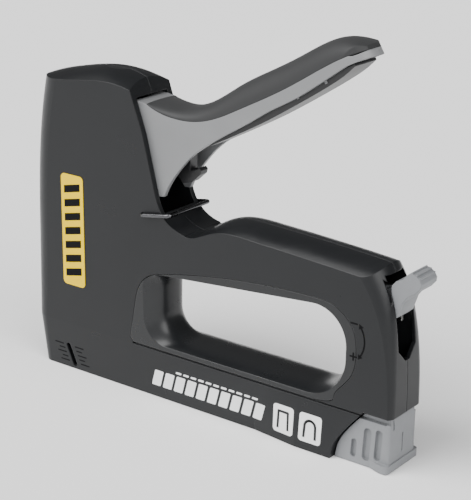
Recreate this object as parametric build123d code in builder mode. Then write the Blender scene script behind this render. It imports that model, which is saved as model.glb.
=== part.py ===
from build123d import *
import math
import os

os.makedirs("parts", exist_ok=True)

# Staple gun. +Z up, nose towards -X, origin under the middle of the whole tool on its base.
# Side outlines are drawn as (distance behind the nose, height) in millimetres.
nose_to_origin = 109.88
body_bottom_half = 11.9      # half width of the body at the base
body_shelf_half = 13.0       # half width where the upper body starts
body_top_half = 14.45        # half width at the top of the head
shelf_z = 24.4
head_z = 150.0
seam = 0.15                  # half of the joint line between the two shells

pivot_x, pivot_z = 59.0, 136.0        # handle pivot
lever_x, lever_z = 198.0, 74.0        # power lever pivot
bail_x, bail_z = 73.1, 91.6           # lock bail pivot
rod_z = 17.8                          # pusher rod
rail_half = 4.9

side = Plane(origin=(-nose_to_origin, 0, 0), x_dir=(1, 0, 0), z_dir=(0, -1, 0))


def level(z):
    """Horizontal plane at height z, x counted from the nose."""
    return Plane(origin=(-nose_to_origin, 0, z))


def station(x):
    """Upright plane across the tool at distance x behind the nose."""
    return Plane(origin=(x - nose_to_origin, 0, 0), x_dir=(0, 1, 0), z_dir=(1, 0, 0))


def side_at(y):
    """Side plane moved to width y."""
    return Plane(origin=(-nose_to_origin, y, 0), x_dir=(1, 0, 0), z_dir=(0, -1, 0))


def half_width(z):
    """Half width of the drafted upper body at height z."""
    return body_shelf_half + (body_top_half - body_shelf_half) * (z - shelf_z) / (head_z - shelf_z)


# ---------------------------------------------------------------- body envelope
# height, nose front, nose corner radius
nose_rows = [(24.4, 0.9, 8.5), (50, 0.3, 10.5), (82, 0.4, 11.5), (112, 1.6, 12.2), (135, 4.2, 12.9),
             (156, 8.6, 13.3)]
# height, rear face, rear corner radius
tail_rows = [(20, 212.2, 4.2), (34, 211.9, 4.3), (48, 211.3, 4.7), (61, 210.1, 5.7), (73, 208.3, 7.6),
             (83, 205.8, 10.0), (91, 202.4, 12.2), (98, 197, 13.0)]

with BuildPart() as upper_block:
    for z, front, radius in nose_rows:
        with BuildSketch(level(z)) as plan:
            with Locations(((front + 240) / 2, 0)):
                Rectangle(240 - front, 2 * half_width(z))
            fillet(plan.vertices().group_by(Axis.X)[0], radius)
    loft()

with BuildPart() as lower_block:
    for z, front, half, radius in ((-2, 6.0, body_bottom_half - 0.1, 5), (shelf_z, 0.9, body_shelf_half, 8.5)):
        with BuildSketch(level(z)) as plan:
            with Locations(((front + 240) / 2, 0)):
                Rectangle(240 - front, 2 * half)
            fillet(plan.vertices().group_by(Axis.X)[0], radius)
    loft()
    # foot of the housing flares out towards the end cap
    with BuildSketch(station(139)):
        Polygon((9, 0), (11.95, 0), (12.9, 23.6), (9, 23.6), align=None)
    with BuildSketch(station(163)):
        Polygon((9, 0), (14.8, 0), (13.0, 23.6), (9, 23.6), align=None)
    loft(ruled=True)
    with BuildSketch(station(163)):
        Polygon((9, 0), (14.8, 0), (13.0, 23.6), (9, 23.6), align=None)
    extrude(amount=40)
    mirror(about=Plane.XZ)

with BuildPart() as tail_block:
    for z, rear, radius in tail_rows:
        with BuildSketch(level(z)) as plan:
            with Locations((rear - 40, 0)):
                Rectangle(80, 2 * half_width(98))
            fillet(plan.vertices().group_by(Axis.X)[-1], radius)
    loft()

with BuildPart() as tail_waste:
    with BuildSketch(level(20)):
        with Locations((202, 0)):
            Rectangle(74, 60)
    extrude(amount=78)
    add(tail_block.part, mode=Mode.SUBTRACT)

# ---------------------------------------------------------------- crowned tops
# distance behind the nose, height of the side edge, height of the crown
roof_rows = [(2, 145.2, 145.4), (14, 147.7, 150.4), (34, 149.8, 155.0), (53, 151.6, 156.2), (62, 150.7, 154.3),
             (72, 148.2, 150.2)]
grip_rows = [(98, 86.0, 86.3), (105, 87.0, 88.6), (112, 90.1, 93.2), (120, 92.3, 96.2), (132, 92.5, 97.0),
             (147, 91.7, 96.5), (162, 90.8, 95.9), (177, 89.9, 95.1), (191, 89.0, 94.2), (204, 88.0, 93.0),
             (217, 86.6, 91.6)]


def crown_waste(rows, half, top):
    """Everything above a crowned surface given by its edge and crown heights."""
    with BuildPart() as waste:
        for x, edge, crown in rows:
            with BuildSketch(station(x)):
                with BuildLine():
                    ThreePointArc((-half, edge), (0, crown), (half, edge))
                    Polyline((half, edge), (half + 5, edge), (half + 5, top))
                    Polyline((half + 5, top), (-half - 5, top), (-half - 5, edge), (-half, edge))
                make_face()
        loft()
    return waste.part


roof_waste = crown_waste(roof_rows, body_top_half, 176)
grip_waste = crown_waste(grip_rows, half_width(90), 112)

# ---------------------------------------------------------------- hand opening
opening_left, opening_right, opening_floor = 81.6, 185.8, 29.6
liner_half = 13.8


def liner_face(gap):
    """Outline of the panel that frames the hand opening, grown by a gap."""
    def grown(*points):
        spots = []
        for x, z in points:
            out_x, out_z = (x - 129) / 64 ** 2, (z - 50) / 24 ** 2
            size = math.hypot(out_x, out_z)
            spots.append((x + gap * out_x / size, z + gap * out_z / size))
        return spots

    with BuildSketch(side) as panel:
        with BuildLine():
            tail = Spline(*grown((168, 73.9), (183, 71.6), (190.6, 64.5), (192.9, 54), (190.2, 41), (182.5, 31),
                                 (171, 25.4)), tangents=[(1, 0.0), (-1, -0.1)])
            Polyline(tail @ 1, *grown((66.4, 25.4), (64.5, 27.8), (68.3, 48.5)))
            Spline(*grown((68.3, 48.5), (73, 58.6), (83, 63.9)), tangents=[(0.2, 1), (1, 0.22)])
            ThreePointArc(*grown((83, 63.9), (125, 71.3), (168, 73.9)))
        make_face()
    return panel.sketch


with BuildPart() as hand_hole:
    for y in (-liner_half, -10, -6, 0, 6, 10, liner_half):
        flare = (abs(y) / liner_half) ** 3       # the hole is narrowest in the middle
        left = opening_left - 9.5 * flare
        right = opening_right + 2.2 * flare
        floor = opening_floor - 2.3 * flare
        left_top = 61.9 + 0.9 * flare + (left - 72) * 0.06
        right_top = 70.2 + 2.6 * flare
        with BuildSketch(side_at(y)):
            with BuildLine():
                FilletPolyline((left, floor), (right, floor), (right, right_top), (left, left_top),
                               radius=[13, 21, 17, 8], close=True)
            make_face()
    loft()

with BuildPart() as opening_liner:
    extrude(liner_face(0), amount=16, both=True)
    add(upper_block.part, mode=Mode.INTERSECT)
    add(hand_hole.part, mode=Mode.SUBTRACT)
opening_liner.part.label = "opening_liner"
export_step(opening_liner.part, "parts/opening_liner.step")

# ---------------------------------------------------------------- shells
screw_spots = [(50, 60), (50, 37), (126, 87.3), (201, 40)]
screw_r, screw_head_r, screw_seat_y = 1.5, 2.9, 9.5
boss_r = 4.2
head_cavity_half, lever_cavity_half = 11.2, 8.6
heel = [(197.6, 26.2), (189.3, 16), (184.2, 8), (182.4, 0)]      # rear edge of the magazine housing


def post(x, z, radius, low_y, high_y):
    """Round post or hole across the tool."""
    with BuildPart() as rod:
        with BuildSketch(side_at(low_y)):
            with Locations((x, z)):
                Circle(radius)
        extrude(amount=low_y - high_y)
    return rod.part


def slab(points, half):
    """Side outline given full width about the middle plane."""
    with BuildPart() as plate:
        with BuildSketch(side):
            Polygon(*points, align=None)
        extrude(amount=half, both=True)
    return plate.part


def block(x_range, y_range, z_range):
    """Box given by its limits, x counted from the nose."""
    with BuildPart() as brick:
        with BuildSketch(level(z_range[0])):
            with Locations(((x_range[0] + x_range[1]) / 2, (y_range[0] + y_range[1]) / 2)):
                Rectangle(x_range[1] - x_range[0], y_range[1] - y_range[0])
        extrude(amount=z_range[1] - z_range[0])
    return brick.part


with BuildPart() as whole_block:
    add(upper_block.part)
    add(lower_block.part)
    add(block((-40, 260), (-30, 30), (-4, 0)), mode=Mode.SUBTRACT)

with BuildPart() as hollow:
    add(slab([(9.2, 30), (9.2, 128), (13, 139), (21, 144), (56, 147), (74, 145.6), (100, 132), (100, 100),
              (87, 95), (79, 91.5), (64, 80), (60.5, 76), (60.5, 30)], head_cavity_half))
    add(slab([(9.0, -2), (9.0, 31), (12.4, 31), (12.4, -2)], 5.7))
    add(slab([(12, 2.2), (12, 21.5), (230, 21.5), (230, 2.2)], 8.6))
    add(slab([(60, 76.5), (196, 76.5), (196, 90.2), (140, 91.8), (120, 90.6), (110, 83.6), (98, 82.6), (86, 84),
              (60, 90)], 9))
    add(slab([(189, 76.5), (189, 90.3), (199, 90.2), (204, 86.5), (206.4, 79), (208, 66), (209, 50), (209.3, 29),
              (195.6, 29), (195.6, 62), (191, 67)], lever_cavity_half))
    for x, z in screw_spots:
        add(post(x, z, boss_r, -14, 14), mode=Mode.SUBTRACT)
    # slot that the power lever swings in, pointed at its lower end
    with BuildSketch(station(200)):
        Polygon((-7.2, 89.4), (7.2, 89.4), (7.2, 56.5), (2, 51), (-2, 51), (-7.2, 56.5), align=None)
    extrude(amount=20)

with BuildPart() as liner_pocket:
    extrude(liner_face(0.25), amount=20, both=True)

with BuildPart() as body:
    with BuildSketch(side):
        with BuildLine():
            Polyline((66.1, 149.5), (73.4, 130), (80.2, 104.2))
            throat = Spline((80.2, 104.2), (82.8, 96.6), (87, 91.2), (93, 87.6), (98, 86.3), (104, 86.8),
                            tangents=[(0.25, -1), (1, 0.2)])
            Polyline(throat @ 1, (104, 97.1), (214, 97.1), (214, 26.2), heel[0])
            foot = Spline(*heel, tangents=[(-0.75, -1), (-0.1, -1)])
            Polyline(foot @ 1, (182.4, -1), (-6, -1), (-6, 162), (60.5, 162), (66.1, 149.5))
        make_face()
    extrude(amount=16, both=True)
    add(whole_block.part, mode=Mode.INTERSECT)
    add(tail_waste.part, mode=Mode.SUBTRACT)
    add(roof_waste, mode=Mode.SUBTRACT)
    add(grip_waste, mode=Mode.SUBTRACT)
    add(liner_pocket.part, mode=Mode.SUBTRACT)
    add(hollow.part, mode=Mode.SUBTRACT)
    # shadow line between the housing and the upper body
    for edge in (-1, 1):
        low_y, high_y = sorted((edge * 11.9, edge * 20))
        add(block((66, 199), (low_y, high_y), (24.3, 25.3)), mode=Mode.SUBTRACT)
        # window into the magazine and its row of sight marks
        with BuildSketch(side_at(edge * 8)):
            with Locations(Location((25.2, 7.2), 22.5)):
                SlotOverall(12.6, 2.7, rotation=90)
        extrude(amount=-edge * 8, mode=Mode.SUBTRACT)
    # seats of the pins, the lock wire and the nose plate
    add(post(pivot_x, pivot_z, 3.02, -12.9, 12.9), mode=Mode.SUBTRACT)
    add(post(lever_x, lever_z, 2.02, -10.6, 10.6), mode=Mode.SUBTRACT)
    add(post(bail_x, bail_z, 1.08, 11.8, 20), mode=Mode.SUBTRACT)
    add(post(bail_x, bail_z, 1.08, -20, -11.8), mode=Mode.SUBTRACT)
    add(block((7.0, 9.3), (-8, 8), (-1, 28)), mode=Mode.SUBTRACT)
    for x, z in screw_spots:
        add(post(x, z, screw_r, -8, 0), mode=Mode.SUBTRACT)
        add(post(x, z, screw_r + 0.2, 0, 11), mode=Mode.SUBTRACT)
        add(post(x, z, screw_head_r + 0.3, screw_seat_y, 20), mode=Mode.SUBTRACT)


def finish_part(shape, name):
    """Label a solid and write it out."""
    shape.label = name
    export_step(shape, f"parts/{name}.step")


with BuildPart() as left_shell:
    add(body.part)
    split(bisect_by=Plane.XZ.offset(seam), keep=Keep.TOP)
finish_part(left_shell.part, "left_shell")

with BuildPart() as right_shell:
    add(body.part)
    split(bisect_by=Plane.XZ.offset(-seam), keep=Keep.BOTTOM)
finish_part(right_shell.part, "right_shell")

# ---------------------------------------------------------------- label on the side of the head
label_w, label_h, label_thick = 14.0, 57.0, 0.3
draft = math.degrees(math.atan((body_top_half - body_shelf_half) / (head_z - shelf_z)))
label_z = 74.0
label_plane = Plane(origin=(29 - nose_to_origin, -half_width(label_z) - 0.06, label_z), x_dir=(1, 0, 0),
                    z_dir=(0, -1, -math.tan(math.radians(draft))))
with BuildPart() as side_label:
    with BuildSketch(label_plane):
        RectangleRounded(label_w, label_h, 2.2)
    extrude(amount=label_thick)
finish_part(side_label.part, "side_label")

# ---------------------------------------------------------------- screws and pins
with BuildPart() as body_screws:
    for x, z in screw_spots:
        add(post(x, z, screw_r, -8, screw_seat_y))
        add(post(x, z, screw_head_r, screw_seat_y, 12))
        with BuildSketch(side_at(12)):
            with Locations((x, z)):
                Rectangle(3.4, 0.8)
                Rectangle(0.8, 3.4)
        extrude(amount=1.4, mode=Mode.SUBTRACT)
finish_part(body_screws.part, "body_screws")

finish_part(post(pivot_x, pivot_z, 3, -12.8, 12.8), "handle_pivot_pin")
finish_part(post(lever_x, lever_z, 2, -10.5, 10.5), "lever_pin")

# ---------------------------------------------------------------- nose, magazine and feed
finish_part(block((7.2, 8.9), (-7.7, 7.7), (0, 27.6)), "nose_plate")

rail_top = 14.2
with BuildPart() as magazine_rail:
    add(block((12.2, 174), (-rail_half, rail_half), (2.2, rail_top)))
    add(block((12.2, 174), (-rail_half + 0.9, rail_half - 0.9), (2.2, rail_top - 0.9)), mode=Mode.SUBTRACT)
    for x in range(30, 170, 28):
        add(block((x, x + 12), (-2, 2), (rail_top - 2, rail_top + 1)), mode=Mode.SUBTRACT)
finish_part(magazine_rail.part, "magazine_rail")

staple_gap, staple_wire, staple_end = 0.12, 0.6, 72.0
with BuildPart() as staple_strip:
    inner = rail_half + staple_gap
    top = rail_top + staple_gap
    add(block((11.8, staple_end), (-inner - staple_wire, inner + staple_wire), (2.6, top + staple_wire)))
    add(block((11.8, staple_end), (-inner, inner), (2.2, top)), mode=Mode.SUBTRACT)
finish_part(staple_strip.part, "staple_strip")

with BuildPart() as pusher:
    add(block((72.4, 90), (-6.6, 6.6), (3.2, 20.4)))
    add(block((72, 91), (-rail_half - 0.3, rail_half + 0.3), (2, rail_top + 0.3)), mode=Mode.SUBTRACT)
    with BuildSketch(station(70)):
        with Locations((0, rod_z)):
            Circle(1.26)
    extrude(amount=24, mode=Mode.SUBTRACT)
    fillet(pusher.edges().filter_by(Axis.X).group_by(Axis.Z)[-1], 1.5)
finish_part(pusher.part, "pusher")

with BuildPart() as pusher_rod:
    with BuildSketch(station(75)):
        with Locations((0, rod_z)):
            Circle(1.2)
    extrude(amount=112)
finish_part(pusher_rod.part, "pusher_rod")


def coil(radius, wire, pitch, height, place):
    """Round wire coil."""
    with BuildPart() as spring:
        with BuildLine() as turns:
            Helix(pitch=pitch, height=height, radius=radius)
        with BuildSketch(Plane(origin=turns.line @ 0, z_dir=turns.line % 0)):
            Circle(wire)
        sweep(path=turns.line, is_frenet=True)
    return spring.part.moved(place)


feed_coil = coil(2.0, 0.3, 4.2, 84.0, Location((90.6 - nose_to_origin, 0, rod_z), (0, 90, 0)))
finish_part(feed_coil, "pusher_spring")

# end cap that latches the magazine
cap_half, cap_lip_half, cap_rear = 11.3, 13.4, 210.8
with BuildPart() as end_cap:
    with BuildSketch(side):
        with BuildLine():
            front = Spline(*[(x + 0.6, z) for x, z in heel], tangents=[(-0.75, -1), (-0.1, -1)])
            Polyline(front @ 1, (cap_rear, 0), (cap_rear, 21), (cap_rear - 0.7, 26.2), front @ 0)
        make_face()
    extrude(amount=cap_half, both=True)
    add(block((180, 214), (-20, 20), (25.6, 30)), mode=Mode.SUBTRACT)
    for edge in (-1, 1):
        low_y, high_y = sorted((edge * 9.9, edge * 20))
        add(block((180, 214), (low_y, high_y), (22.9, 30)), mode=Mode.SUBTRACT)
        low_y, high_y = sorted((edge * 9.2, edge * 20))
        add(block((180, 209), (low_y, high_y), (22.3, 23.1)), mode=Mode.SUBTRACT)
        # finger grooves
        for x, low, high, wide in ((192.6, 2.6, 11.6, 2.8), (199.3, 2.6, 18.6, 3.8), (205.2, 4.2, 19.2, 3.4)):
            with BuildSketch(side_at(edge * (cap_half - 1.5))):
                with Locations(Location((x, (low + high) / 2), -3)):
                    SlotOverall(high - low, wide, rotation=90)
            extrude(amount=-edge * 5, mode=Mode.SUBTRACT)
    fillet(end_cap.edges().filter_by(Axis.Z).group_by(Axis.X)[-1], 1.4)
    # lip along the bottom rear edge
    with BuildSketch(level(0)) as lip:
        Polygon((200.5, 11.0), (207.6, cap_lip_half), (211.4, cap_lip_half), (211.4, -cap_lip_half),
                (207.6, -cap_lip_half), (200.5, -11.0), align=None)
        fillet(lip.vertices().group_by(Axis.X)[-1], 1.6)
    extrude(amount=3.8)
    add(block((177, 190), (-8.3, 8.3), (2.6, 21.2)))
    add(block((210.3, 212), (-0.5, 0.5), (7, 16)), mode=Mode.SUBTRACT)
    add(block((210.0, 212), (-8.2, -7.2), (19.6, 24.4)), mode=Mode.SUBTRACT)
    with BuildSketch(station(170)):
        with Locations((0, rod_z)):
            Circle(1.2)
    extrude(amount=17, mode=Mode.SUBTRACT)
    # slot over the end of the rail
    add(block((176, 181), (-3, 3), (2, 8)), mode=Mode.SUBTRACT)
finish_part(end_cap.part, "end_cap")

# ---------------------------------------------------------------- striker and main spring
blade_x = 9.5
with BuildPart() as driver_blade:
    add(block((blade_x, blade_x + 1.2), (-5.2, 5.2), (1.4, 60)))
finish_part(driver_blade.part, "driver_blade")

spring_x, spring_r, spring_wire = 18.9, 5.3, 0.9
ledge_low, ledge_top = 51.0, 58.0
with BuildPart() as striker:
    add(block((blade_x + 1.2, 28.0), (-8.5, 8.5), (ledge_low, ledge_top)))
    add(block((25.7, 28.0), (-6.2, 6.2), (ledge_top, 131)))
    add(block((28.0, 34.6), (-6.2, 6.2), (127.7, 131)))
    add(block((9.6, 12), (-8.5, 8.5), (ledge_low, ledge_top)))
    add(block((blade_x - 1, blade_x + 1.2), (-5.2, 5.2), (40, 61)), mode=Mode.SUBTRACT)
finish_part(striker.part, "striker")

main_coil = coil(spring_r, spring_wire, 5.6, 76.5, Location((spring_x - nose_to_origin, 0, ledge_top + 1.0)))
finish_part(main_coil, "main_spring")

with BuildPart() as spring_seat:
    add(slab([(14, 136.8), (25.2, 136.8), (25.2, 143), (21.8, 142.8), (16.4, 139.8)], 10.9))
    with BuildSketch(Plane(origin=(spring_x - nose_to_origin, 0, 84))):
        Circle(2.6)
    extrude(amount=54)
finish_part(spring_seat.part, "spring_seat")

with BuildPart() as striker_bumper:
    add(block((12.6, 28), (-9, 9), (43, 50.4)))
    fillet(striker_bumper.edges().filter_by(Axis.Z), 2)
    add(block((12.6, 45.4), (-11, 11), (39.6, 43)))
finish_part(striker_bumper.part, "striker_bumper")

# ---------------------------------------------------------------- handle
handle_half, channel_half, tip_r, web_thick = 10.8, 8.7, 10.8, 2.4
# edge between the grip pad and the frame: x, z, slope in degrees, pad height
pad_line = [(73, 143.9, -22, 0.9), (81, 141.0, -13, 3.6), (91, 139.7, -1, 4.8), (101, 140.3, 11, 6.4),
            (113, 143.8, 21.5, 8.6), (126, 150.2, 27.5, 10.4), (152, 164.4, 31, 10.6), (166, 173.3, 31, 10.2),
            (174, 178.2, 31, 9.4), (181, 181.9, 31, 7.2), (187.4, 184.6, 31, 2.0)]
tip_slope = math.radians(31)
tip_centre = (180.0, 178.0)
underside = [(83.6, 101.6), (87, 108.4), (92, 115.4), (100, 124.2), (110, 131.6), (120, 138.0), (130, 144.1),
             (142, 152.0), (153, 158.3), (162, 164.2), (171, 170.7), (180, 177.2), (187.6, 181.2)]

with BuildPart() as tip_waste:
    with BuildSketch(Plane(origin=(tip_centre[0] - nose_to_origin, 0, tip_centre[1]),
                           x_dir=(math.cos(tip_slope), 0, math.sin(tip_slope)),
                           z_dir=(-math.sin(tip_slope), 0, math.cos(tip_slope)))):
        with Locations((15, 0)):
            Rectangle(30, 40)
        Circle(tip_r, mode=Mode.SUBTRACT)
    extrude(amount=40, both=True)

with BuildPart() as handle_grip:
    for x, z, slope, height in pad_line:
        turn = math.radians(slope)
        with BuildSketch(Plane(origin=(x - nose_to_origin, 0, z), x_dir=(0, 1, 0),
                               z_dir=(math.cos(turn), 0, math.sin(turn)))):
            Ellipse(handle_half, height)
            with Locations((0, -20)):
                Rectangle(60, 40, mode=Mode.SUBTRACT)
    loft()
    add(tip_waste.part, mode=Mode.SUBTRACT)
finish_part(handle_grip.part, "handle_grip")

with BuildPart() as handle_frame:
    with BuildSketch(side):
        with BuildLine():
            slopes = [math.radians(row[2]) for row in (pad_line[0], pad_line[-1])]
            edge_line = Spline(*[(row[0], row[1]) for row in pad_line],
                               tangents=[(math.cos(a), math.sin(a)) for a in slopes])
            belly = Spline(*underside, tangents=[(0.4, 1), (1, 0.5)])
            Polyline(edge_line @ 1, (190.4, 183.6), (190.4, 182.0), belly @ 1)
            Polyline(belly @ 0, (80.4, 101.2), (66, 118), (54, 128.4), (59, 145), (68.5, 144.6), edge_line @ 0)
        make_face()
        with Locations((pivot_x, pivot_z)):
            Circle(9)
    extrude(amount=handle_half, both=True)
    add(handle_grip.part, mode=Mode.SUBTRACT)
    add(tip_waste.part, mode=Mode.SUBTRACT)
    web = []
    for x, z, slope, height in pad_line[1:-1]:
        turn = math.radians(slope)
        web.append((x + web_thick * math.sin(turn), z - web_thick * math.cos(turn)))
    channel = [(40, 150), (66, 150), (66, 142.8), (74, 141.6), *web,
               (184.4, 179.8), (187.4, 172), (120, 118), (84, 92), (40, 100)]
    add(slab(channel, channel_half), mode=Mode.SUBTRACT)
    for x, z, slope, height in pad_line[5:8]:
        turn = math.radians(slope)
        with BuildSketch(Plane(origin=(x - nose_to_origin, 0, z), x_dir=(0, 1, 0),
                               z_dir=(math.cos(turn), 0, math.sin(turn)))):
            with Locations((0, -4.2)):
                Rectangle(2 * channel_half + 0.4, 4)
        extrude(amount=1.2)
    add(post(pivot_x, pivot_z, 3.06, -15, 15), mode=Mode.SUBTRACT)
    whole_frame = handle_frame.solids().sort_by(SortBy.VOLUME)[-1]
finish_part(Part() + whole_frame, "handle_frame")

with BuildPart() as handle_insert:
    with BuildSketch(side):
        with BuildLine():
            keel = Spline((108, 129.8), (124, 138.3), (137.4, 145.8), (150.5, 153.9), (163, 162.0), (172.5, 168.5),
                          (178.6, 173.2), (183.2, 177.6), tangents=[(1, 0.52), (1, 1)])
            Polyline(keel @ 1, (182.8, 178.6), (164, 168.4), (112, 137.6), (108, 134.6), keel @ 0)
        make_face()
    extrude(amount=channel_half - 0.3, both=True)
    add(handle_frame.part, mode=Mode.SUBTRACT)
    insert_body = handle_insert.solids().sort_by(SortBy.VOLUME)[-1]
finish_part(Part() + insert_body, "handle_insert")

roller_x, roller_z, roller_r = 34.0, 124.2, 3.2
with BuildPart() as lift_arm:
    add(slab([(55, 130), (35.2, 121.9), (33.2, 126.5), (52, 139.5), (59, 142.6), (72, 141), (70, 134)], 3))
    add(post(roller_x, roller_z, 2.6, -3, 3))
    add(post(pivot_x, pivot_z, 4.6, -8.6, 8.6))
    add(post(pivot_x, pivot_z, 3.06, -15, 15), mode=Mode.SUBTRACT)
    add(post(roller_x, roller_z, 1.5, -8, 8), mode=Mode.SUBTRACT)
finish_part(lift_arm.part, "lift_arm")

with BuildPart() as lift_roller:
    add(post(roller_x, roller_z, 1.5, -6.2, 6.2))
    add(post(roller_x, roller_z, roller_r, 3.2, 6.2))
    add(post(roller_x, roller_z, roller_r, -6.2, -3.2))
finish_part(lift_roller.part, "lift_roller")

return_coil = coil(6.2, 0.55, 1.35, 4.0, Location((pivot_x - nose_to_origin, 8.0, pivot_z), (90, 0, 0)))
finish_part(return_coil, "return_spring")

with BuildPart() as latch_hook:
    add(slab([(80, 127), (93, 130), (92.6, 121), (92.4, 114.2), (95.2, 115.0), (97.6, 116.4), (98.8, 115.2),
              (98.2, 113.2), (93.4, 108.8), (88, 107.2), (83, 112), (78, 120)], 2.6))
    add(slab([(78, 122), (92.4, 126), (92.4, 122.6), (80, 119.4)], channel_half))
finish_part(latch_hook.part, "latch_hook")

# ---------------------------------------------------------------- lock wire behind the neck
bail_reach, bail_half, bail_wire, bail_slope = 17.2, 15.15, 1.0, math.radians(10)
bail_plane = Plane(origin=(bail_x - nose_to_origin, 0, bail_z),
                   x_dir=(math.cos(bail_slope), 0, math.sin(bail_slope)),
                   z_dir=(-math.sin(bail_slope), 0, math.cos(bail_slope)))
with BuildPart() as lock_wire:
    with BuildLine(bail_plane) as bend:
        FilletPolyline((0, 12.0), (0, bail_half), (bail_reach, bail_half), (bail_reach, -bail_half), (0, -bail_half),
                       (0, -12.0), radius=1.8)
    with BuildSketch(Plane(origin=bend.line @ 0, z_dir=bend.line % 0)):
        Circle(bail_wire)
    sweep(path=bend.line)
finish_part(lock_wire.part, "lock_wire")

# ---------------------------------------------------------------- power lever and its link
lever_half, hub_half, crank_r = 6.7, 4.2, 5.0
crank = math.radians(-52.5)
crank_x = lever_x + crank_r * math.cos(crank)
crank_z = lever_z + crank_r * math.sin(crank)
link_rear = 204.4            # stops short of the wide part of the lever
with BuildPart() as power_lever:
    add(slab([(198, 80.8), (206, 84.6), (211, 87.6), (211, 78.8), (208.4, 71.4), (202, 67.4)], hub_half))
    add(post(lever_x, lever_z, 7, -hub_half, hub_half))
    with BuildSketch(side):
        Polygon((205.2, 85.6), (207.2, 88.0), (210.4, 89.4), (212.6, 92.2), (213.6, 93.0), (216.0, 92.7),
                (218.3, 91.2), (219.5, 89.2), (219.2, 87.2), (216.8, 84.4), (213.5, 82.4), (211, 79), (208.5, 71.6),
                (205.4, 71.0), align=None)
    extrude(amount=lever_half, both=True)
    # ridges across the thumb pad
    for x, z in ((214.4, 93.1), (216.6, 92.6), (218.4, 91.4)):
        add(post(x, z, 0.45, -lever_half + 0.6, lever_half - 0.6))
    add(post(crank_x, crank_z, 1.4, hub_half, 6.4))
    add(post(lever_x, lever_z, 2.06, -12, 12), mode=Mode.SUBTRACT)
finish_part(power_lever.part, "power_lever")

with BuildPart() as power_link:
    with BuildSketch(station(58)):
        with Locations((0, 79.5)):
            Circle(1.5)
    extrude(amount=122)
    add(block((176, 184), (-1.5, 6.3), (78, 81)))
    add(block((184, link_rear), (4.7, 6.3), (78, 81)))
    add(block((197.6, link_rear), (4.7, 6.3), (65.6, 81)))
    add(block((crank_x - 1.8, crank_x + 1.8), (4, 7), (67.2, 72)), mode=Mode.SUBTRACT)
    # clearance around the lever pin over the link's travel
    add(block((195.6, 203.6), (4, 7), (71.6, 76.4)), mode=Mode.SUBTRACT)
finish_part(power_link.part, "power_link")

with BuildPart() as power_shuttle:
    add(block((50, 58), (-7, 7), (73, 86)))
    fillet(power_shuttle.edges().filter_by(Axis.Y), 2)
finish_part(power_shuttle.part, "power_shuttle")
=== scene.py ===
import math
import bmesh
import bpy
from mathutils import Matrix, Vector


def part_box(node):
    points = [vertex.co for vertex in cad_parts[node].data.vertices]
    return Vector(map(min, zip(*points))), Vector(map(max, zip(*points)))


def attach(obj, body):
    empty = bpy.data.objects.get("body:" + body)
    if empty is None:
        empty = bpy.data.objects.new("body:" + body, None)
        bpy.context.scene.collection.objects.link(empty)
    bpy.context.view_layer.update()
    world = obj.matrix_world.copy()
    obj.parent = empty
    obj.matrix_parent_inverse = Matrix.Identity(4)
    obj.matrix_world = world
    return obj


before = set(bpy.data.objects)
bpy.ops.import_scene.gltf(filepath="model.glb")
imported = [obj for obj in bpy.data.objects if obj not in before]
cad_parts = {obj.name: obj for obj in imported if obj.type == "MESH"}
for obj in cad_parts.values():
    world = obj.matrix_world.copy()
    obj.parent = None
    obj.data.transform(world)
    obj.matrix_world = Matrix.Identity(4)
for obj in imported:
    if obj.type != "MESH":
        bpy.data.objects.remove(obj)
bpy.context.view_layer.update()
nose = 0.10988  # distance from the nose to the middle of the tool


def spot(x, y, z):
    # millimetres behind the nose, across and up, as a point of the model
    return Vector((x / 1000 - nose, y / 1000, z / 1000))


print("materials")


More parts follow.
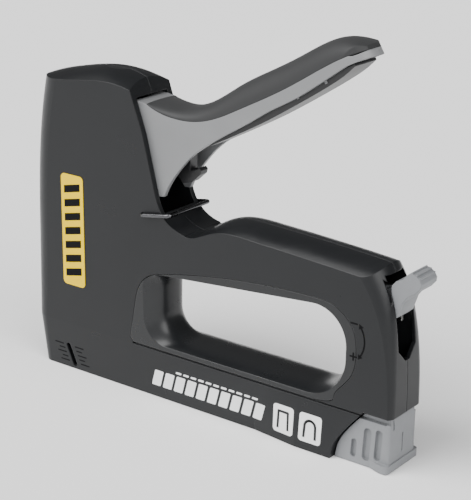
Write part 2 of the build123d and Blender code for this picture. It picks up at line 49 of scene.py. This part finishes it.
class Mat:
    # small helper that keeps the node wiring of one material readable
    def __init__(self, name, colour, roughness, metallic=0.0, specular=0.5, sheen=0.0):
        self.mat = bpy.data.materials.new(name)
        self.mat.use_nodes = True
        self.tree = self.mat.node_tree
        self.shader = self.tree.nodes["Principled BSDF"]
        self.colour = colour
        socket = self.shader.inputs
        socket["Base Color"].default_value = (*colour, 1)
        socket["Roughness"].default_value = roughness
        socket["Metallic"].default_value = metallic
        socket["Specular IOR Level"].default_value = specular
        socket["Sheen Weight"].default_value = sheen
        self.place = self.tree.nodes.new("ShaderNodeTexCoord").outputs["Object"]
        self.normal = None

    def add(self, kind, **values):
        node = self.tree.nodes.new(kind)
        for key, value in values.items():
            setattr(node, key, value)
        return node

    def link(self, a, b):
        self.tree.links.new(a, b)

    def noise(self, scale, detail=4.0, roughness=0.5, stretch=None):
        tex = self.add("ShaderNodeTexNoise")
        tex.inputs["Scale"].default_value = scale
        tex.inputs["Detail"].default_value = detail
        tex.inputs["Roughness"].default_value = roughness
        if stretch:
            mapping = self.add("ShaderNodeMapping")
            mapping.inputs["Scale"].default_value = stretch
            self.link(self.place, mapping.inputs["Vector"])
            self.link(mapping.outputs["Vector"], tex.inputs["Vector"])
        else:
            self.link(self.place, tex.inputs["Vector"])
        return tex.outputs["Fac"]

    def tint(self, source, dark, light, low=0.3, high=0.7):
        ramp = self.add("ShaderNodeValToRGB")
        first, last = ramp.color_ramp.elements
        first.position, last.position = low, high
        first.color = (*[c * dark for c in self.colour], 1)
        last.color = (*[c * light for c in self.colour], 1)
        self.link(source, ramp.inputs["Fac"])
        self.link(ramp.outputs["Color"], self.shader.inputs["Base Color"])

    def polish(self, source, low, high):
        ramp = self.add("ShaderNodeMapRange")
        ramp.inputs["From Min"].default_value = 0.3
        ramp.inputs["From Max"].default_value = 0.7
        ramp.inputs["To Min"].default_value = low
        ramp.inputs["To Max"].default_value = high
        self.link(source, ramp.inputs["Value"])
        self.link(ramp.outputs["Result"], self.shader.inputs["Roughness"])

    def soften(self, radius):
        # worn, slightly round edges
        edge = self.add("ShaderNodeBevel", samples=8)
        edge.inputs["Radius"].default_value = radius
        self.normal = edge.outputs["Normal"]
        self.link(self.normal, self.shader.inputs["Normal"])

    def bump(self, source, strength, distance):
        node = self.add("ShaderNodeBump")
        node.inputs["Strength"].default_value = strength
        node.inputs["Distance"].default_value = distance
        self.link(source, node.inputs["Height"])
        if self.normal:
            self.link(self.normal, node.inputs["Normal"])
        self.normal = node.outputs["Normal"]
        self.link(self.normal, self.shader.inputs["Normal"])


bodyLook = {"colour": (0.0088, 0.0094, 0.0104), "roughness": 0.32, "specular": 0.3, "edge": 0.0006, "grain": 0.00006}


def makeBodyPaint():
    m = Mat("satinCharcoal", bodyLook["colour"], bodyLook["roughness"], specular=bodyLook["specular"])
    m.tint(m.noise(28, 5), 0.93, 1.08)
    m.polish(m.noise(60, 6), bodyLook["roughness"] - 0.05, bodyLook["roughness"] + 0.06)
    m.soften(bodyLook["edge"])
    m.bump(m.noise(1900, 2), 0.10, bodyLook["grain"])
    return m.mat


def makeLinerPaint():
    m = Mat("smoothCharcoal", (0.0095, 0.0102, 0.0112), 0.26, specular=0.42)
    m.tint(m.noise(30, 4), 0.92, 1.08)
    m.polish(m.noise(70, 5), 0.25, 0.34)
    m.soften(0.0007)
    m.bump(m.noise(1500, 2), 0.06, 0.00005)
    return m.mat


def makeGreyMoulding(name, colour, roughness=0.45):
    m = Mat(name, colour, roughness, specular=0.4)
    m.tint(m.noise(40, 4), 0.95, 1.04)
    m.polish(m.noise(120, 5), roughness - 0.05, roughness + 0.06)
    m.soften(0.0006)
    m.bump(m.noise(1600, 2), 0.10, 0.00006)
    return m.mat


def makeGripRubber():
    m = Mat("softGrip", (0.02, 0.0205, 0.0214), 0.55, specular=0.35, sheen=0.05)
    m.tint(m.noise(45, 4), 0.92, 1.08)
    m.polish(m.noise(90, 4), 0.5, 0.62)
    m.soften(0.0009)
    m.bump(m.noise(2600, 3), 0.22, 0.00008)
    return m.mat


def makeSteel(name, colour, roughness, grainAcross=(1, 18, 1)):
    m = Mat(name, colour, roughness, metallic=1.0)
    m.tint(m.noise(60, 5), 0.85, 1.1)
    m.polish(m.noise(140, 4, stretch=grainAcross), roughness - 0.08, roughness + 0.1)
    m.soften(0.0003)
    m.bump(m.noise(700, 3, stretch=grainAcross), 0.12, 0.00005)
    return m.mat


def makeBlackMoulding():
    m = Mat("blackMoulding", (0.012, 0.012, 0.013), 0.4)
    m.tint(m.noise(60, 4), 0.8, 1.2)
    m.soften(0.0005)
    m.bump(m.noise(1500, 2), 0.12, 0.00006)
    return m.mat


def makePrint(name, colour, roughness):
    m = Mat(name, colour, roughness, specular=0.1)
    m.tint(m.noise(90, 5), 0.96, 1.02)
    m.bump(m.noise(2200, 2), 0.08, 0.00003)
    return m.mat


bodyPaint = makeBodyPaint()
linerPaint = makeLinerPaint()
greyHandle = makeGreyMoulding("satinGrey", (0.185, 0.188, 0.192), 0.36)
greyCap = makeGreyMoulding("greyMoulding", (0.19, 0.196, 0.205), 0.48)
gripRubber = makeGripRubber()
blackMoulding = makeBlackMoulding()
brightSteel = makeSteel("platedSteel", (0.62, 0.62, 0.6), 0.3)
darkSteel = makeSteel("oiledSteel", (0.32, 0.32, 0.31), 0.34)
wireSteel = makeSteel("blackenedWire", (0.10, 0.10, 0.105), 0.22)
yellowFilm = makePrint("yellowFilm", (0.85, 0.58, 0.0), 0.6)
whitePrint = makePrint("whitePrint", (0.82, 0.83, 0.83), 0.5)
darkPrint = makePrint("darkPrint", (0.003, 0.003, 0.0035), 0.6)

finishes = {
    bodyPaint: ["left_shell", "right_shell"],
    linerPaint: ["opening_liner"],
    greyHandle: ["handle_frame"],
    greyCap: ["end_cap", "power_lever"],
    gripRubber: ["handle_grip", "striker_bumper"],
    blackMoulding: ["handle_insert", "latch_hook", "spring_seat", "power_shuttle", "pusher"],
    brightSteel: ["body_screws", "handle_pivot_pin", "lever_pin", "staple_strip", "pusher_rod", "magazine_rail",
                  "power_link"],
    darkSteel: ["driver_blade", "striker", "nose_plate", "lift_arm", "lift_roller", "main_spring", "return_spring",
                "pusher_spring"],
    wireSteel: ["lock_wire"],
    yellowFilm: ["side_label"],
}
for finish, nodes in finishes.items():
    for node in nodes:
        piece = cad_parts[node]
        piece.data.materials.clear()
        piece.data.materials.append(finish)

print("printed marks")


def sideWidth(x, z):
    # half width of the upper body, or of the housing below it with its flared foot, in millimetres
    if z > 24.4:
        return 13.0 + 1.45 * (z - 24.4) / 125.6
    plain = 11.8 + 1.2 * (z + 2) / 26.4
    t = min(max((x - 139) / 24, 0), 1)
    foot = 11.95 + 2.85 * t + (0.95 - 2.75 * t) * z / 23.6
    return max(plain, foot) if x > 139 else plain


def flatShape(name, outlines, finish, thick=0.12, body="body", lift=0.0):
    # thin print on the near side: outlines are lists of (x, z) in millimetres
    mesh = bpy.data.meshes.new(name)
    bm = bmesh.new()
    for outline in outlines:
        corners = [bm.verts.new(spot(x, -sideWidth(x, z) - lift, z)) for x, z in outline]
        face = bm.faces.new(corners)
        bm.normal_update()
        if face.normal.y > 0:
            face.normal_flip()
        grown = bmesh.ops.extrude_face_region(bm, geom=[face])
        moved = [v for v in grown["geom"] if isinstance(v, bmesh.types.BMVert)]
        bmesh.ops.translate(bm, verts=moved, vec=(0, -thick / 1000, 0))
    bmesh.ops.recalc_face_normals(bm, faces=bm.faces)
    bm.to_mesh(mesh)
    bm.free()
    piece = bpy.data.objects.new(name, mesh)
    bpy.context.collection.objects.link(piece)
    mesh.materials.append(finish)
    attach(piece, body)
    return piece


def roundBox(x0, x1, z0, z1, r, slant=0.0, steps=6):
    # rounded rectangle, slanted along x by height
    corners = []
    for cx, cz, start in ((x1 - r, z1 - r, 0), (x0 + r, z1 - r, 90), (x0 + r, z0 + r, 180), (x1 - r, z0 + r, 270)):
        for k in range(steps + 1):
            a = math.radians(start + 90 * k / steps)
            z = cz + r * math.sin(a)
            corners.append((cx + r * math.cos(a) + slant * (z - z0), z))
    return corners


def stroke(points, width, closed=False):
    # ribbon of constant width along a line, as one outline for each stretch
    out = []
    count = len(points) if closed else len(points) - 1
    for k in range(count):
        (ax, az), (bx, bz) = points[k], points[(k + 1) % len(points)]
        dx, dz = bx - ax, bz - az
        size = math.hypot(dx, dz)
        dx, dz = dx / size * width / 2, dz / size * width / 2
        out.append([(ax - dz - dx * 0.5, az + dx - dz * 0.5), (bx - dz + dx * 0.5, bz + dx + dz * 0.5),
                    (bx + dz + dx * 0.5, bz - dx + dz * 0.5), (ax + dz - dx * 0.5, az - dx - dz * 0.5)])
    return out


stapleMarks = {"firstX": (150.2, 161.7), "secondX": (165.0, 177.0), "z": (4.0, 17.6), "line": 1.15,
               "margin": 3.1, "foot": 2.4, "head": 3.0}


def makeStapleMarks():
    z0, z1 = stapleMarks["z"]
    for name, (x0, x1) in (("flatStapleMark", stapleMarks["firstX"]), ("roundStapleMark", stapleMarks["secondX"])):
        flatShape(name + "Field", [roundBox(x0, x1, z0, z1, 1.6)], whitePrint, thick=0.2)
        left, right = x0 + stapleMarks["margin"], x1 - stapleMarks["margin"]
        foot, head = z0 + stapleMarks["foot"], z1 - stapleMarks["head"]
        if name.startswith("flat"):
            path = [(left - 0.3, foot), (left, head), (right, head), (right + 0.3, foot)]
        else:
            r = (right - left) / 2
            path = [(left - 0.2, foot)]
            path += [(left + r - r * math.cos(math.pi * k / 12), head - r + r * math.sin(math.pi * k / 12))
                     for k in range(13)]
            path += [(right + 0.2, foot)]
        flatShape(name + "Line", stroke(path, stapleMarks["line"]), bodyPaint, thick=0.12, lift=0.27)


makeStapleMarks()

stripeMark = {"x": (77.5, 143.0), "z": (6.0, 14.2), "lean": 0.28, "gap": 1.5, "block": 5.2, "blocks": 10,
              "dashes": 11, "dashPitch": 4.5, "dash": 3.2, "dashIndent": 15}


def makeStripeMark():
    # row of leaning blocks with a fine dashed line above it
    blocks, dashes = [], []
    (x, end), (z0, z1) = stripeMark["x"], stripeMark["z"]
    for _ in range(stripeMark["blocks"]):
        blocks.append(roundBox(x, min(x + stripeMark["block"], end), z0, z1, 0.5, slant=stripeMark["lean"], steps=3))
        x += stripeMark["block"] + stripeMark["gap"]
    for k in range(stripeMark["dashes"]):
        left = stripeMark["x"][0] + stripeMark["dashIndent"] + k * stripeMark["dashPitch"]
        right = left + stripeMark["dash"]
        dashes.append(roundBox(left, right, z1 + 1.3, z1 + 2.3, 0.3, slant=stripeMark["lean"], steps=2))
    flatShape("stripeMarkBlocks", blocks, whitePrint)
    flatShape("stripeMarkDashes", dashes, whitePrint)


makeStripeMark()

dialMark = {"centre": (188.6, 59.0), "radius": 10.4, "from": -42, "to": 42, "line": 0.7}


def makeDialMark():
    # curved double arrow beside the power lever, less at the top and more at the bottom
    (cx, cz), r = dialMark["centre"], dialMark["radius"]
    angles = [math.radians(dialMark["from"] + (dialMark["to"] - dialMark["from"]) * k / 12) for k in range(13)]
    arc = [(cx + 0.82 * r * math.cos(a), cz + r * math.sin(a)) for a in angles]
    shapes = stroke(arc, dialMark["line"])
    for (ax, az), (bx, bz) in ((arc[-1], arc[-3]), (arc[0], arc[2])):
        dx, dz = ax - bx, az - bz
        size = math.hypot(dx, dz)
        dx, dz = dx / size, dz / size
        shapes.append([(ax + dx * 1.6, az + dz * 1.6), (ax - dz * 1.3 - dx * 0.6, az + dx * 1.3 - dz * 0.6),
                       (ax + dz * 1.3 - dx * 0.6, az - dx * 1.3 - dz * 0.6)])
    flatShape("dialMarkArc", shapes, darkPrint, thick=0.1)
    top, low = arc[-1][1] + 1.0, arc[0][1] - 0.6
    flatShape("dialMarkLess", stroke([(cx + 1.2, top), (cx + 4.6, top)], 0.7), darkPrint, thick=0.1)
    flatShape("dialMarkMore", stroke([(cx + 1.4, low), (cx + 4.8, low)], 0.7), darkPrint, thick=0.1)
    flatShape("dialMarkMoreUp", stroke([(cx + 3.1, low - 1.7), (cx + 3.1, low + 1.7)], 0.7), darkPrint, thick=0.1,
              lift=0.06)


makeDialMark()

gaugeMark = {"left": 16.4, "right": 29.6, "z": (3.4, 12.0), "rows": 5}


def makeGaugeMark():
    # fill marks on both sides of the magazine window
    shapes = []
    z0, z1 = gaugeMark["z"]
    for k in range(gaugeMark["rows"]):
        z = z0 + (z1 - z0) * k / (gaugeMark["rows"] - 1)
        drift = -0.41 * (z - 7.2)
        long = 5.4 if k % 2 == 0 else 3.4
        shapes += stroke([(gaugeMark["left"] + 5.4 - long + drift, z), (gaugeMark["left"] + 5.4 + drift, z)], 0.55)
        shapes += stroke([(gaugeMark["right"] + drift, z), (gaugeMark["right"] + long + drift, z)], 0.55)
    flatShape("gaugeMark", shapes, darkPrint, thick=0.08)


makeGaugeMark()

labelLook = {"bars": 7, "lean": 0.45, "thick": 0.1, "side": 2.0, "low": 3.6, "high": 3.2, "fill": 0.6, "lift": 0.37}


def makeLabelBars():
    # dark leaning bars on the yellow film
    low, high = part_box("side_label")
    side = labelLook["side"]
    x0, x1 = (low.x + nose) * 1000 + side, (high.x + nose) * 1000 - side
    z0, z1 = low.z * 1000 + labelLook["low"], high.z * 1000 - labelLook["high"]
    pitch = (z1 - z0) / labelLook["bars"]
    shapes = []
    for k in range(labelLook["bars"]):
        z = z0 + pitch * k
        rise = labelLook["lean"] * (x1 - x0) * 0.5
        foot, head = z + 0.6, z + pitch * labelLook["fill"]
        shapes.append([(x0, foot), (x1, foot + rise), (x1, head + rise), (x0, head)])
    flatShape("labelBars", shapes, darkPrint, thick=labelLook["thick"], lift=labelLook["lift"])


makeLabelBars()

print("camera, light and floor")
cameraPlan = {"place": (0.41686, -0.55336, 0.3226), "azimuth": 36.5, "elevation": 19.4, "roll": 1.0, "lens": 114.05}


def makeCamera():
    data = bpy.data.cameras.new("camera")
    camera = bpy.data.objects.new("camera", data)
    bpy.context.collection.objects.link(camera)
    a, e, r = [math.radians(cameraPlan[k]) for k in ("azimuth", "elevation", "roll")]
    right = Vector((math.cos(a), math.sin(a), 0))
    ahead = Vector((-math.sin(a) * math.cos(e), math.cos(a) * math.cos(e), -math.sin(e)))
    up = right.cross(ahead)
    right, up = right * math.cos(r) + up * math.sin(r), up * math.cos(r) - right * math.sin(r)
    turn = Matrix((right, up, -ahead)).transposed().to_4x4()
    camera.matrix_world = Matrix.Translation(cameraPlan["place"]) @ turn
    data.sensor_fit = "AUTO"
    data.sensor_width = 36
    data.lens = cameraPlan["lens"]
    data.clip_start, data.clip_end = 0.01, 20
    bpy.context.scene.camera = camera


lightPlan = {
    "front": 1.0,
    "back": 0.16,
    "soft": [
        {"name": "leftFront", "from": (-0.62, -0.85, 1.15), "spread": 50, "power": 3.6},
        {"name": "rightFront", "from": (1.2, -0.35, 0.8), "spread": 45, "power": 2.0},
    ],
}


def makeLights():
    world = bpy.data.worlds.new("studio")
    bpy.context.scene.world = world
    world.use_nodes = True
    nodes, links = world.node_tree.nodes, world.node_tree.links
    shade = nodes["Background"]
    shade.inputs["Color"].default_value = (1, 1, 1, 1)
    # the room is bright in front of the tool and dim behind it, so the tops stay dark
    way = nodes.new("ShaderNodeTexCoord")
    split = nodes.new("ShaderNodeSeparateXYZ")
    fade = nodes.new("ShaderNodeMapRange")
    fade.inputs["From Min"].default_value = -0.3
    fade.inputs["From Max"].default_value = 0.2
    fade.inputs["To Min"].default_value = lightPlan["front"]
    fade.inputs["To Max"].default_value = lightPlan["back"]
    links.new(way.outputs["Generated"], split.inputs["Vector"])
    links.new(split.outputs["Y"], fade.inputs["Value"])
    links.new(fade.outputs["Result"], shade.inputs["Strength"])
    for plan in lightPlan["soft"]:
        data = bpy.data.lights.new(plan["name"], "SUN")
        data.angle = math.radians(plan["spread"])
        data.energy = plan["power"]
        lamp = bpy.data.objects.new(plan["name"], data)
        bpy.context.collection.objects.link(lamp)
        lamp.location = plan["from"]
        lamp.rotation_euler = (-Vector(plan["from"])).to_track_quat("-Z", "Y").to_euler()


def makeFloor():
    mesh = bpy.data.meshes.new("floor")
    bm = bmesh.new()
    corners = [bm.verts.new(p) for p in ((-4, -4, 0), (4, -4, 0), (4, 4, 0), (-4, 4, 0))]
    bm.faces.new(corners)
    bm.to_mesh(mesh)
    bm.free()
    floor = bpy.data.objects.new("floor", mesh)
    floor.location.z = -0.0002
    bpy.context.collection.objects.link(floor)
    m = Mat("paleFloor", (0.93, 0.93, 0.93), 0.8, specular=0.1)
    m.tint(m.noise(3, 2), 0.995, 1.0)
    mesh.materials.append(m.mat)


makeCamera()
makeLights()
makeFloor()

print("done")
